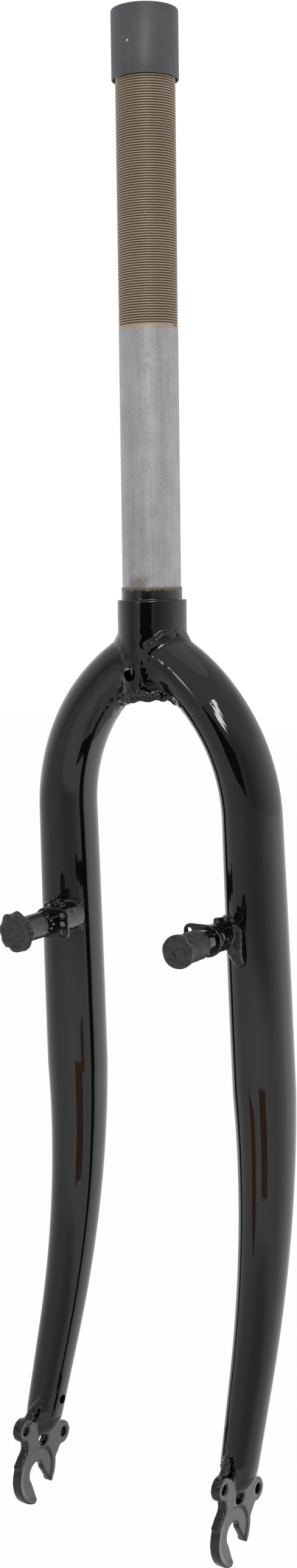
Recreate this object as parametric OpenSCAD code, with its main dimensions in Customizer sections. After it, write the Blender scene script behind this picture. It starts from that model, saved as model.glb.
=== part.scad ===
// Unicrown steel bicycle fork with a threaded steerer, brake posts and slotted fork ends.
// Millimetres. Z runs up the steerer, the front of the bicycle is towards -Y,
// and Z = 0 is the crown shoulder that the headset's crown race sits on.

/* [Steerer] */
// Outside diameter of the steerer, which is also its thread's major diameter
steerer_d = 25.4; // [25:0.1:26]
// Bore of the steerer, for a quill stem
bore_d = 22.2; // [21:0.1:22.6]
// Height of the steerer's top end above the crown shoulder
steerer_h = 243.3; // [150:0.1:300]
// Chamfer on the steerer's top edge
steerer_chamfer = 0.8; // [0.3:0.1:1.2]
// Diameter of the crown race seat
race_seat_d = 26.4; // [26.4:0.1:27]
// Height of the crown race seat
race_seat_h = 5.3; // [3:0.1:8]
// Outside diameter of the crown tube, the steerer's thick lower end
crown_tube_d = 30.2; // [29:0.1:32]
// Length of the crown tube below the shoulder
crown_tube_l = 44; // [42:0.1:50]
// Radius of the crown tube's rounded shoulder
shoulder_r = 0.9; // [0.3:0.1:1.2]
// Diameter of the brake and mudguard hole through the crown tube
brake_hole_d = 6.6; // [5:0.1:8]
// Depth of the brake hole's centre below the shoulder
brake_hole_drop = 31.7; // [26:0.1:34]
// Sideways offset of the brake hole from the middle of the fork
brake_hole_off = 3; // [0:0.1:4]

/* [Thread protector] */
// Outside diameter of the plastic sleeve over the top of the thread
sleeve_d = 28.4; // [28:0.1:32]
// Wall of the sleeve
sleeve_wall = 0.7; // [0.5:0.1:1]
// Length of the sleeve
sleeve_l = 28.2; // [15:0.1:40]
// Thickness of the sleeve's lip, which rests on the steerer's end
sleeve_lip = 1.7; // [1:0.1:3]
// Chamfer on the sleeve's top edge
sleeve_chamfer = 0.5; // [0.2:0.1:0.8]
// Opening in the sleeve's lip, which leaves the steerer's bore free
lip_bore_d = 23; // [22.6:0.1:23.6]

/* [Blades] */
// Diameter of a blade in its straight part
blade_d = 28; // [26:0.1:30]
// Thickness of a blade in the plane of its crown bend, at the crown
squash_d = 23.6; // [22:0.1:25]
// Wall of a blade
blade_wall = 1.5; // [1.2:0.1:2]
// Radius of the crown bend, at the blade's centre line
bend_r = 81; // [75:1:88]
// Distance of a blade's centre line from the middle, at the foot of its crown bend
blade_off = 47.8; // [46:0.1:50]
// Depth of the foot of the crown bend
bend_drop = 95.4; // [93:0.1:98]
// Depth at which the blades start to lean back
lean_drop = 46; // [46:1:60]
// Lean of the straight blades towards the back
lean_a = 2.9; // [2:0.1:4]
// Depth at which the forward rake starts
rake_drop = 222; // [210:1:235]
// Radius of the rake bend
rake_r = 310; // [280:1:340]
// Forward slant of the blade below the rake bend
rake_a = 19.3; // [17:0.1:21]
// Depth at which a blade starts to taper
taper_drop = 216; // [200:1:225]
// Diameter of a blade at the start of its domed tip
tip_d = 16.9; // [15:0.1:18]
// Length of the domed tip
dome_l = 12; // [9:0.1:14]
// Depth of the very end of a blade
blade_end_drop = 387; // [384:0.1:389]
// Diameter of the vent hole in a blade's inner side
vent_d = 4.4; // [3:0.1:5]
// Height of the vent hole's centre above the top of the fork end
vent_rise = 6.5; // [5:0.1:9]

/* [Fork ends] */
// Clear width between the fork ends, for the hub
hub_w = 100; // [96:1:104]
// Thickness of a fork end
end_t = 4.5; // [4:0.1:5.5]
// Depth of the wheel axle below the crown shoulder
axle_drop = 402.4; // [400:0.1:405]
// Width of the axle slot
slot_w = 9.8; // [9:0.1:10.5]
// Radius of a fork end around the axle
end_r = 14.5; // [14:0.1:15]
// Distance of that round end's centre behind the axle
end_shift = 0.4; // [0:0.1:1]
// Slant of the slot's front edge
slot_front_a = 21.5; // [18:0.5:24]
// Slant of the slot's rear edge
slot_rear_a = 33; // [28:0.5:38]
// Length of the short rear leg below the axle
rear_leg_l = 9.2; // [8:0.1:9.6]
// Radius of the front leg's rounded tip
leg_tip_r = 2; // [1.5:0.1:2.4]
// Distance of that tip's centre ahead of the axle
leg_tip_y = 2.6; // [2.2:0.1:3]
// Depth of that tip's centre below the axle
leg_tip_z = 12.2; // [11.8:0.1:12.4]
// Distance of the waist under the front ear, ahead of the axle
waist_y = 7.3; // [6:0.1:8]
// Height of the waist above the axle
waist_z = 14.2; // [13:0.1:15]
// Radius of the round washer recess on each face
recess_r = 12; // [11:0.1:12.6]
// Depth of the washer recess
recess_depth = 0.7; // [0.3:0.1:1]
// Radius of the two ears with the mudguard eyelets
ear_r = 5.3; // [4.8:0.1:5.8]
// Drilled diameter of an eyelet, tapped M5
eyelet_d = 4.3; // [4.2:0.1:4.6]
// Distance of the front eyelet ahead of the axle
front_eyelet_y = 8; // [7:0.1:9]
// Height of the front eyelet above the axle
front_eyelet_z = 23.9; // [23:0.1:25]
// Distance of the rear eyelet behind the axle
rear_eyelet_y = 21.5; // [20.5:0.1:22.5]
// Height of the rear eyelet above the axle
rear_eyelet_z = 10.8; // [10:0.1:11.6]
// Diameter of the plain hole between the eyelets
jig_hole_d = 6.6; // [5:0.1:7]
// Distance of the plain hole behind the axle
jig_hole_y = 5.4; // [5:0.1:6]
// Height of the plain hole above the axle
jig_hole_z = 14.6; // [14:0.1:15]
// Width of the tang that sits in the blade's slotted tip
tang_w = 12; // [10:0.1:13]

/* [Brake posts] */
// Distance between the axes of the two brake posts
post_gap = 82; // [80:0.1:84]
// Height of the brake posts above the wheel axle
post_rise = 259.9; // [255:0.1:262]
// Distance of the spring plate's front face ahead of the steerer's axis
plate_y = 26.4; // [25:0.1:28]
// Thickness of the spring plate
plate_t = 2; // [1.5:0.1:2.5]
// Radius of the spring plate round the post
plate_r = 7; // [6.5:0.1:7.5]
// Reach of the spring plate from the post's axis towards the wheel
plate_reach = 11.2; // [10.8:0.1:12]
// Corner radius of the spring plate's inner end
plate_corner_r = 3.2; // [2.5:0.1:4]
// Diameter of each of the three spring holes
spring_hole_d = 2.6; // [2:0.1:3]
// Distance of the spring holes from the post's axis
spring_hole_off = 8.4; // [8:0.1:8.6]
// Spacing of the spring holes
spring_hole_gap = 3.9; // [3.6:0.1:4.1]
// Diameter of the round boss behind the spring plate
boss_d = 12.8; // [11:0.1:13.4]
// Length of the boss before it is coped to the blade
boss_l = 19; // [17:0.1:22]
// Diameter of the post's shoulder
shoulder_d = 11.4; // [10.5:0.1:12]
// Length of the post's shoulder
shoulder_l = 5.8; // [5:0.1:7]
// Diameter of the pivot that a brake arm turns on
pivot_d = 8; // [7.6:0.1:8.2]
// Length of the pivot
pivot_l = 16.4; // [15:0.1:18]
// Length of the post's shank, through the plate and into the boss
shank_l = 12; // [8:0.1:14]
// Running clearance between the shank and its holes, on the radius
shank_gap = 0.05; // [0.02:0.01:0.1]
// Drilled diameter of the bolt hole in the pivot's end, tapped M6
bolt_hole_d = 5; // [4.6:0.1:5.2]
// Depth of the bolt hole
bolt_hole_l = 14; // [10:0.1:18]

/* [Post caps] */
// Outside diameter of a cap's tube
cap_d = 11.4; // [10.6:0.1:12]
// Clearance between a cap and the pivot, on the radius
cap_gap = 0.1; // [0.05:0.05:0.3]
// Clearance between a cap's open end and the post's shoulder
cap_clear = 0.3; // [0.2:0.1:1]
// Thickness of a cap's closed end
cap_end_t = 2; // [1:0.1:3]
// Diameter of the left cap's flange, which paint has thickened
left_flange_d = 17.4; // [15:0.1:19]
// Length over which the left cap's neck swells into its flange
left_neck_l = 5.5; // [4:0.1:8]
// Diameter of the raised face in front of the left cap's flange
left_face_d = 13.4; // [12:0.1:14]
// Diameter of the right cap's flange
right_flange_d = 14.6; // [13:0.1:16]
// Length over which the right cap's neck swells into its flange
right_neck_l = 9; // [6:0.1:11]
// Diameter of the right cap's flat face
right_face_d = 14; // [12:0.1:14.4]
// Thickness of a cap's flange
flange_t = 1.2; // [0.8:0.1:2]
// Height of a cap's raised face
face_t = 0.8; // [0.4:0.1:1]

/* [Welds] */
// Radius of the weld bead between the crown tube and a blade
bead_r = 2.4; // [2:0.1:3]
// Radius of the weld bead round the crown tube's lower end
rim_bead_r = 1.7; // [1.2:0.1:2.4]
// Distance of that bead's centre inside the crown tube's surface
rim_bead_in = 0.7; // [0.2:0.1:1]
// Height of the ripples along a weld bead
ripple = 0.25; // [0.1:0.05:0.4]
// Ripples round one blade
ripple_count = 14; // [8:1:18]
// Spread of the fillet weld round a brake boss
boss_weld_w = 5.4; // [4:0.1:6]
// Radius of the weld between a blade's tip and its fork end
end_weld_r = 3.9; // [3.5:0.1:4.4]
// Depth of that weld's upper end
end_weld_drop = 370; // [368:0.5:371]
// Length of that weld
end_weld_l = 5; // [4:0.5:6]

/* [Hidden] */
$fn = 64;
// Sides of a blade's section, outside and inside
blade_sides = 28;
inner_sides = 16;
// Overrun of a cutting tool past the surface it cuts
eps = 1;
paint = [0.05, 0.05, 0.055];
bare_steel = [0.62, 0.61, 0.6];
sleeve_grey = [0.32, 0.31, 0.33];

crown_r = crown_tube_d / 2;
bend_x0 = blade_off - bend_r;
end_x = hub_w / 2;
end_mid_x = end_x + end_t / 2;
dome_drop = blade_end_drop - dome_l;
tang_drop = dome_drop + 1;
cavity_end_drop = dome_drop - 1;
blade_splay = (end_mid_x - blade_off) / (axle_drop - bend_drop);
rake_y0 = (rake_drop - lean_drop) * tan(lean_a);
rake_end_drop = rake_drop + rake_r * (sin(rake_a) + sin(lean_a));
rake_end_y = rake_y0 + rake_r * (cos(rake_a) - cos(lean_a));
post_x = post_gap / 2;
post_z = post_rise - axle_drop;
plate_back_y = -plate_y + plate_t;
pivot_end_y = -plate_y - shoulder_l - pivot_l;

// Centre line of the right blade at a depth below the shoulder
function line_x(d) =
    d < bend_drop ? bend_x0 + sqrt(bend_r * bend_r - (bend_drop - d) * (bend_drop - d))
                  : blade_off + (d - bend_drop) * blade_splay;
function rake_at(d) = asin((d - rake_drop) / rake_r - sin(lean_a));
function line_y(d) =
    d < lean_drop ? 0
    : d < rake_drop ? (d - lean_drop) * tan(lean_a)
    : d < rake_end_drop ? rake_y0 + rake_r * (cos(rake_at(d)) - cos(lean_a))
    : rake_end_y - (d - rake_end_drop) * tan(rake_a);
function line_at(d) = [line_x(d), line_y(d), -d];
axle_y = line_y(axle_drop);

// Direction of the centre line, downwards
function unit(v) = v / norm(v);
function along(d) = unit(line_at(d + 0.1) - line_at(d - 0.1));

// Half widths of the blade: across the crown bend's plane, and in it
function taper_r(d) =
    d < taper_drop ? blade_d / 2
    : d < dome_drop ? blade_d / 2 - (blade_d - tip_d) / 2 * (d - taper_drop) / (dome_drop - taper_drop)
    : tip_d / 2 * sqrt(1 - pow((d - dome_drop) / dome_l, 2));
function squash_at(d) = (blade_d - squash_d) / 2 * (1 - sin(90 * min(1, max(0, (d - 30) / (taper_drop - 30)))));

// Depths of the blade's rings: crown bend, straight, rake, tip and dome
bend_top_a = acos(-bend_x0 / bend_r) - 1;
bend_rings = [for (i = [0:11]) bend_drop - bend_r * sin(bend_top_a * (11 - i) / 11)];
straight_rings = [for (i = [1:4]) bend_drop + (taper_drop - bend_drop) * i / 4];
rake_rings = [for (i = [1:9]) taper_drop + (rake_end_drop - taper_drop) * i / 9];
tip_rings = [(rake_end_drop + dome_drop) / 2, dome_drop];
dome_rings = [for (s = [0.4, 0.7, 0.88, 0.98]) dome_drop + dome_l * s];
shell_rings = concat(bend_rings, straight_rings, rake_rings, tip_rings);
cavity_rings = concat([for (d = shell_rings) if (d < cavity_end_drop) d], [cavity_end_drop]);

// One ring of the blade, with its wall taken off inside
function ring(d, wall, sides) =
    let (t = along(d), v = unit(cross([0, 1, 0], t)), w = cross(t, v),
         ru = taper_r(d) - squash_at(d) - wall, rw = taper_r(d) - wall)
    [for (i = [0:sides - 1]) line_at(d) + v * ru * cos(360 * i / sides) + w * rw * sin(360 * i / sides)];

// Skin over a list of rings that all have the same number of points
module skin(rings) {
    n = len(rings[0]);
    last = len(rings) - 1;
    sides = [for (k = [0:last - 1]) for (i = [0:n - 1])
        [k * n + i, (k + 1) * n + i, (k + 1) * n + (i + 1) % n, k * n + (i + 1) % n]];
    caps = [[for (i = [0:n - 1]) i], [for (i = [n - 1:-1:0]) last * n + i]];
    polyhedron([for (r = rings) for (p = r) p], concat(sides, caps));
}

module blade_outside(depths) {
    skin([for (d = depths) ring(d, 0, blade_sides)]);
}

// Brake hole's cutter, through both walls of the crown tube
module brake_hole() {
    translate([-brake_hole_off, crown_r + eps, -brake_hole_drop])
        rotate([90, 0, 0])
            cylinder(d = brake_hole_d, h = crown_tube_d + 2 * eps);
}

// Solid core of the crown tube, which the blades and welds are coped to
module crown_core(over) {
    translate([0, 0, -crown_tube_l - over])
        cylinder(d = crown_tube_d, h = crown_tube_l + over);
}

module steerer_tube() {
    r = steerer_d / 2;
    seat_r = race_seat_d / 2;
    color(bare_steel)
        difference() {
            union() {
                cylinder(r = r, h = steerer_h - steerer_chamfer);
                translate([0, 0, steerer_h - steerer_chamfer])
                    cylinder(r1 = r, r2 = r - steerer_chamfer, h = steerer_chamfer);
                cylinder(r = seat_r, h = race_seat_h);
                translate([0, 0, -crown_tube_l])
                    cylinder(r = crown_r, h = crown_tube_l - shoulder_r);
                rotate_extrude()
                    crown_shoulder();
            }
            translate([0, 0, -crown_tube_l - eps])
                cylinder(d = bore_d, h = crown_tube_l + steerer_h + 2 * eps);
            brake_hole();
        }
}

// Half section of the rounded shoulder on top of the crown tube
module crown_shoulder() {
    translate([0, -shoulder_r])
        square([crown_r - shoulder_r, shoulder_r]);
    translate([crown_r - shoulder_r, -shoulder_r])
        intersection() {
            circle(r = shoulder_r);
            square(shoulder_r);
        }
}

module thread_protector() {
    r = sleeve_d / 2;
    top = steerer_h + sleeve_lip;
    color(sleeve_grey)
        difference() {
            union() {
                translate([0, 0, top - sleeve_l])
                    cylinder(r = r, h = sleeve_l - sleeve_chamfer);
                translate([0, 0, top - sleeve_chamfer])
                    cylinder(r1 = r, r2 = r - sleeve_chamfer, h = sleeve_chamfer);
            }
            translate([0, 0, top - sleeve_l - eps])
                cylinder(r = r - sleeve_wall, h = sleeve_l - sleeve_lip + eps);
            cylinder(d = lip_bore_d, h = top + eps);
        }
}

// Curve where the right blade's skin meets the crown tube
function cope_at(a) =
    let (y = blade_d / 2 * sin(a), x = sqrt(crown_r * crown_r - y * y),
         reach = bend_r + squash_d / 2 * cos(a))
    [x, y, sqrt(reach * reach - (x - bend_x0) * (x - bend_x0)) - bend_drop];

// One ring of the weld bead that follows the cope
function bead_ring(a) =
    let (p = cope_at(a), t = unit(cope_at(a + 1) - cope_at(a - 1)), u = unit(cross(t, [p.x, p.y, 0])),
         v = cross(t, u), r = bead_r + ripple * cos(ripple_count * a))
    [for (i = [0:7]) p + r * (u * cos(45 * i) + v * sin(45 * i))];

module cope_bead() {
    step = 360 / (4 * ripple_count);
    rings = [for (a = [0:step:359]) bead_ring(a)];
    n = len(rings);
    faces = [for (k = [0:n - 1]) for (i = [0:7])
        [k * 8 + i, (k + 1) % n * 8 + i, (k + 1) % n * 8 + (i + 1) % 8, k * 8 + (i + 1) % 8]];
    polyhedron([for (r = rings) for (p = r) p], faces);
}

module crown_weld() {
    color(paint)
        difference() {
            union() {
                cope_bead();
                mirror([1, 0, 0])
                    cope_bead();
                translate([0, 0, -crown_tube_l])
                    rotate_extrude()
                        translate([crown_r - rim_bead_in, 0])
                            circle(r = rim_bead_r);
            }
            crown_core(0);
            translate([0, 0, -crown_tube_l - 2 * bead_r])
                cylinder(d = bore_d, h = 4 * bead_r);
            blade_outside(bend_rings);
            mirror([1, 0, 0])
                blade_outside(bend_rings);
            brake_hole();
        }
}

module blade() {
    color(paint)
        difference() {
            blade_outside(concat(shell_rings, dome_rings));
            skin([for (d = cavity_rings) ring(d, blade_wall, inner_sides)]);
            crown_core(bead_r * 3);
            translate([end_x, -100, -blade_end_drop - eps])
                cube([end_t, 200, blade_end_drop + eps - tang_drop]);
            translate([0, line_y(tang_drop - vent_rise), -tang_drop + vent_rise])
                rotate([0, 90, 0])
                    cylinder(d = vent_d, h = end_mid_x);
        }
}

module left_blade() {
    mirror([1, 0, 0])
        blade();
}

module right_blade() {
    blade();
}

// Outline of a fork end seen from the side, with the axle at the origin
module end_outline() {
    front = [-front_eyelet_y, front_eyelet_z];
    rear = [rear_eyelet_y, rear_eyelet_z];
    run = unit(rear - front);
    up = [-run.y, run.x] * ear_r;
    slot_r = slot_w / 2;
    drop = end_r + eps;
    difference() {
        union() {
            translate([end_shift, 0])
                circle(r = end_r);
            translate(front)
                circle(r = ear_r);
            translate(rear)
                circle(r = ear_r);
            polygon([front + up, front - [0, ear_r], [-waist_y, waist_z], [1 - end_r, end_r / 2],
                     [0, 0], [end_r, 1], rear - up, rear + up]);
            tang_outline();
        }
        circle(r = slot_r);
        polygon([[-slot_r, 0], [drop * tan(slot_front_a) - slot_r, -drop],
                 [drop * tan(slot_rear_a) + slot_r, -drop], [slot_r, 0]]);
        translate([slot_r, -rear_leg_l - end_r])
            square([end_r, end_r]);
        translate([-leg_tip_y, -leg_tip_z])
            rotate(-45)
                translate([leg_tip_r / 2, -leg_tip_r * 1.5])
                    square([leg_tip_r * 2, leg_tip_r * 3]);
        translate([jig_hole_y, jig_hole_z])
            circle(d = jig_hole_d);
        for (p = [front, rear])
            translate(p)
                circle(d = eyelet_d);
    }
    translate([-leg_tip_y, -leg_tip_z])
        circle(r = leg_tip_r);
}

// Tang that follows the blade up to the top of its slot
module tang_outline() {
    top = axle_drop - tang_drop;
    foot = top / 2;
    half_w = tang_w / 2 / cos(rake_a);
    lean = tan(rake_a);
    polygon([[foot * lean - half_w, foot], [foot * lean + half_w, foot],
             [top * lean + half_w, top], [top * lean - half_w, top]]);
}

module fork_end() {
    color(paint)
        translate([end_x, axle_y, -axle_drop])
            difference() {
                rotate([90, 0, 90])
                    linear_extrude(end_t)
                        end_outline();
                translate([-eps, 0, 0])
                    rotate([0, 90, 0])
                        cylinder(r = recess_r, h = recess_depth + eps);
                translate([end_t - recess_depth, 0, 0])
                    rotate([0, 90, 0])
                        cylinder(r = recess_r, h = recess_depth + eps);
            }
}

module left_fork_end() {
    mirror([1, 0, 0])
        fork_end();
}

module right_fork_end() {
    fork_end();
}

// Lump of weld where the front of a blade's tip meets its fork end
module end_weld() {
    top_y = line_y(end_weld_drop) - taper_r(end_weld_drop) - 1;
    color(paint)
        difference() {
            translate([end_mid_x, top_y, -end_weld_drop])
                rotate([-45, 0, 0]) {
                    sphere(r = end_weld_r);
                    translate([0, 0, -end_weld_l]) {
                        cylinder(r = end_weld_r, h = end_weld_l);
                        sphere(r = end_weld_r);
                    }
                }
            blade_outside(concat(tip_rings, dome_rings));
            translate([end_x, axle_y, -axle_drop])
                rotate([90, 0, 90])
                    linear_extrude(end_t)
                        end_outline();
        }
}

module left_end_weld() {
    mirror([1, 0, 0])
        end_weld();
}

module right_end_weld() {
    end_weld();
}

// Puts its children on the right post's axis, with their +Z pointing forward
module at_post(y) {
    translate([post_x, y, post_z])
        rotate([90, 0, 0])
            children();
}

// Hole for the post's shank, from the plate's front face inwards
module shank_hole(l) {
    at_post(l - plate_y)
        cylinder(r = pivot_d / 2 + shank_gap, h = l + eps);
}

module brake_boss() {
    color(paint)
        difference() {
            at_post(plate_back_y + boss_l)
                cylinder(d = boss_d, h = boss_l);
            blade_outside(concat([bend_drop], straight_rings));
            shank_hole(shank_l);
        }
}

module left_brake_boss() {
    mirror([1, 0, 0])
        brake_boss();
}

module right_brake_boss() {
    brake_boss();
}

// Fillet weld that spreads from a boss onto its blade, ground flat on the wheel's side
module boss_weld() {
    r = boss_d / 2;
    foot_y = -r;
    color(paint)
        difference() {
            union() {
                at_post(foot_y)
                    cylinder(r1 = r + boss_weld_w, r2 = r, h = boss_weld_w * 1.5);
                at_post(0)
                    cylinder(r = r + boss_weld_w, h = r);
            }
            at_post(plate_back_y + boss_l)
                cylinder(d = boss_d, h = boss_l);
            at_post(0)
                translate([-r * 3 - boss_weld_w, -r * 3, -eps])
                    cube([r * 2 + boss_weld_w, r * 6, boss_l]);
            blade_outside(concat([bend_drop], straight_rings));
        }
}

module left_boss_weld() {
    mirror([1, 0, 0])
        boss_weld();
}

module right_boss_weld() {
    boss_weld();
}

module spring_plate() {
    color(paint)
        at_post(plate_back_y)
            linear_extrude(plate_t)
                difference() {
                    union() {
                        circle(r = plate_r);
                        translate([-plate_reach, plate_corner_r - plate_r])
                            square([plate_reach, (plate_r - plate_corner_r) * 2]);
                        translate([plate_corner_r - plate_reach, -plate_r])
                            square([plate_reach - plate_corner_r, plate_r * 2]);
                        for (side = [-1, 1])
                            translate([plate_corner_r - plate_reach, side * (plate_r - plate_corner_r)])
                                circle(r = plate_corner_r);
                    }
                    circle(r = pivot_d / 2 + shank_gap);
                    for (step = [-1, 0, 1])
                        translate([-spring_hole_off, step * spring_hole_gap])
                            circle(d = spring_hole_d);
                }
}

module left_spring_plate() {
    mirror([1, 0, 0])
        spring_plate();
}

module right_spring_plate() {
    spring_plate();
}

module brake_post() {
    color(paint)
        at_post(-plate_y)
            difference() {
                union() {
                    translate([0, 0, -shank_l])
                        cylinder(d = pivot_d, h = shank_l + shoulder_l + pivot_l);
                    cylinder(d = shoulder_d, h = shoulder_l);
                }
                translate([0, 0, shoulder_l + pivot_l - bolt_hole_l])
                    cylinder(d = bolt_hole_d, h = bolt_hole_l + eps);
            }
}

module left_brake_post() {
    mirror([1, 0, 0])
        brake_post();
}

module right_brake_post() {
    brake_post();
}

// Cap pushed over a pivot, with its open end just clear of the shoulder
module post_cap(flange_d, neck_l, face_d) {
    tube_l = pivot_l - cap_clear + cap_end_t;
    flange_z = tube_l - face_t - flange_t;
    color(paint)
        at_post(-plate_y - shoulder_l - cap_clear)
            difference() {
                union() {
                    cylinder(d = cap_d, h = flange_z);
                    translate([0, 0, flange_z - neck_l])
                        cylinder(d1 = cap_d, d2 = flange_d, h = neck_l);
                    translate([0, 0, flange_z])
                        cylinder(d = flange_d, h = flange_t);
                    translate([0, 0, flange_z + flange_t])
                        cylinder(d = face_d, h = face_t);
                }
                translate([0, 0, -eps])
                    cylinder(r = pivot_d / 2 + cap_gap, h = tube_l - cap_end_t + eps);
            }
}

module left_post_cap() {
    mirror([1, 0, 0])
        post_cap(left_flange_d, left_neck_l, left_face_d);
}

module right_post_cap() {
    post_cap(right_flange_d, right_neck_l, right_face_d);
}

steerer_tube();
thread_protector();
crown_weld();
left_blade();
right_blade();
left_fork_end();
right_fork_end();
left_end_weld();
right_end_weld();
left_brake_boss();
right_brake_boss();
left_boss_weld();
right_boss_weld();
left_spring_plate();
right_spring_plate();
left_brake_post();
right_brake_post();
left_post_cap();
right_post_cap();
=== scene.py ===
import math
import random

import bmesh
import bpy
from mathutils import Matrix, Vector, noise
from mathutils.kdtree import KDTree


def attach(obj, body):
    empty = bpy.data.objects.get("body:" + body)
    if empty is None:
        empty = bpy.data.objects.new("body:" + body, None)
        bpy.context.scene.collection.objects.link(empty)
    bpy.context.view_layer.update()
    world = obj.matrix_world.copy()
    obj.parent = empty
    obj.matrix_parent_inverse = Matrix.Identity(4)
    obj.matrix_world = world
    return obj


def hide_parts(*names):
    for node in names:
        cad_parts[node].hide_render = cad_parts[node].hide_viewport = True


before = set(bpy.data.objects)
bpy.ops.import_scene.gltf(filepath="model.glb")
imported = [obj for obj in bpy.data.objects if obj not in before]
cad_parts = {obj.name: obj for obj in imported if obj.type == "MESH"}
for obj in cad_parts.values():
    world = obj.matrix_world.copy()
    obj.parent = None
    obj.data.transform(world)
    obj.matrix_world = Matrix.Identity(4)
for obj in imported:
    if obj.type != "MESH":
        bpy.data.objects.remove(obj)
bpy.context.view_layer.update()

random.seed(7)

# Camera
# The fork is seen from its front left, a little above the middle of its length,
# from about 0.8 m away, so the near blade is drawn larger than the far one.
camera_at = (0.422965, -0.680148, 0.021981)
camera_bearing = 32.064
camera_pitch = 7.325
camera_roll = 0.781
focal_px = 3011.075
photo_height_px = 2576
sensor_mm = 36
camera_data = bpy.data.cameras.new("camera")
camera_data.lens = sensor_mm * focal_px / photo_height_px
camera_data.sensor_width = sensor_mm
camera = bpy.data.objects.new("camera", camera_data)
camera.matrix_world = (Matrix.Translation(camera_at)
                       @ Matrix.Rotation(math.radians(camera_bearing), 4, "Z")
                       @ Matrix.Rotation(math.radians(90 - camera_pitch), 4, "X")
                       @ Matrix.Rotation(math.radians(-camera_roll), 4, "Z"))
bpy.context.scene.collection.objects.link(camera)
bpy.context.scene.camera = camera
bpy.context.scene.view_settings.view_transform = "Standard"


# Steerer
# One steel tube, bare above the crown, with 24 threads to the inch down from its top.
# It is drawn steel with a dull grain, tan in the cut thread with painted shade in its roots, and rusty at
# its foot.
class Value:
    """A number, colour or vector on its way through a material's nodes."""

    def __init__(self, material, socket):
        self.material = material
        self.socket = socket

    def node(self, kind, settings=None, **inputs):
        made = self.material.node_tree.nodes.new(kind)
        for name, setting in (settings or {}).items():
            if name == "stops":
                ramp = made.color_ramp
                while len(ramp.elements) < len(setting):
                    ramp.elements.new(1)
                for element, (position, tone) in zip(ramp.elements, setting):
                    element.position = position
                    element.color = (tone, tone, tone, 1)
            else:
                setattr(made, name, setting)
        for name, given in inputs.items():
            key = int(name[1:]) if name[0] == "_" else name.replace("_", " ")
            if isinstance(given, Value):
                self.material.node_tree.links.new(given.socket, made.inputs[key])
            else:
                made.inputs[key].default_value = given
        return made

    def out(self, kind, settings=None, output=0, **inputs):
        return Value(self.material, self.node(kind, settings, **inputs).outputs[output])

    def maths(self, operation, first, second=0.0):
        return self.out("ShaderNodeMath", {"operation": operation}, _0=first, _1=second)

    def __add__(self, other):
        return self.maths("ADD", self, other)

    def __radd__(self, other):
        return self.maths("ADD", other, self)

    def __sub__(self, other):
        return self.maths("SUBTRACT", self, other)

    def __rsub__(self, other):
        return self.maths("SUBTRACT", other, self)

    def __mul__(self, other):
        return self.maths("MULTIPLY", self, other)

    def __rmul__(self, other):
        return self.maths("MULTIPLY", other, self)

    def __truediv__(self, other):
        return self.maths("DIVIDE", self, other)

    def most(self, other):
        return self.maths("MAXIMUM", self, other)

    def rise(self, low, high):
        """0 at low, 1 at high, smooth between; with high under low it falls."""
        flip = low > high
        up = self.out("ShaderNodeMapRange", {"interpolation_type": "SMOOTHSTEP"},
                      Value=self, From_Min=min(low, high), From_Max=max(low, high))
        return 1 - up if flip else up

    def tint(self, low, high):
        """A colour that goes from low to high with this value."""
        low = low if isinstance(low, Value) else (*low, 1)
        high = high if isinstance(high, Value) else (*high, 1)
        return self.out("ShaderNodeMix", {"data_type": "RGBA"}, output=2, _0=self, _6=low, _7=high)


def new_material(name):
    """A material with its main shader, and the place on the object that its patterns read."""
    material = bpy.data.materials.new(name)
    material.use_nodes = True
    shader = material.node_tree.nodes["Principled BSDF"]
    nodes = Value(material, None)
    place = nodes.out("ShaderNodeTexCoord", output=3)
    return material, shader, nodes, place


def feed(nodes, socket, value):
    nodes.material.node_tree.links.new(value.socket, socket)


def grain_of(nodes, place, scale, detail=2.0):
    return nodes.out("ShaderNodeTexNoise", Vector=place, Scale=scale, Detail=detail)


def distance_to(nodes, place, at):
    return nodes.out("ShaderNodeVectorMath", {"operation": "DISTANCE"}, output=1, _0=place, _1=at)


def link_mesh(name, bm):
    mesh = bpy.data.meshes.new(name)
    bm.to_mesh(mesh)
    bm.free()
    made = bpy.data.objects.new(name, mesh)
    bpy.context.scene.collection.objects.link(made)
    return made


def finish_mesh(name, bm, material, nodes=(), smooth_deg=40, check_normals=True):
    """Makes a finished piece from a bmesh and lets it ride on the fork."""
    bmesh.ops.remove_doubles(bm, verts=bm.verts, dist=1e-6)
    if check_normals:
        bmesh.ops.recalc_face_normals(bm, faces=bm.faces)
    sharp = math.radians(smooth_deg)
    for face in bm.faces:
        face.smooth = True
    for edge in bm.edges:
        edge.smooth = len(edge.link_faces) == 2 and edge.calc_face_angle(0) < sharp
    piece = link_mesh(name, bm)
    piece.data.materials.append(material)
    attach(piece, "root")
    if nodes:
        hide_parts(*nodes)
    return piece


def turned(profile, steps, rise=0.0):
    """A profile of radius and height, turned round the steerer's axis."""
    bm = bmesh.new()
    chain = [bm.verts.new((r, 0, z)) for r, z in profile]
    for low, high in zip(chain, chain[1:]):
        bm.edges.new((low, high))
    bmesh.ops.spin(bm, geom=bm.verts[:] + bm.edges[:], cent=(0, 0, 0), axis=(0, 0, 1),
                   dvec=(0, 0, rise / steps), angle=2 * math.pi, steps=steps, use_merge=not rise)
    bmesh.ops.remove_doubles(bm, verts=bm.verts, dist=2e-6)
    return bm


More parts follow.
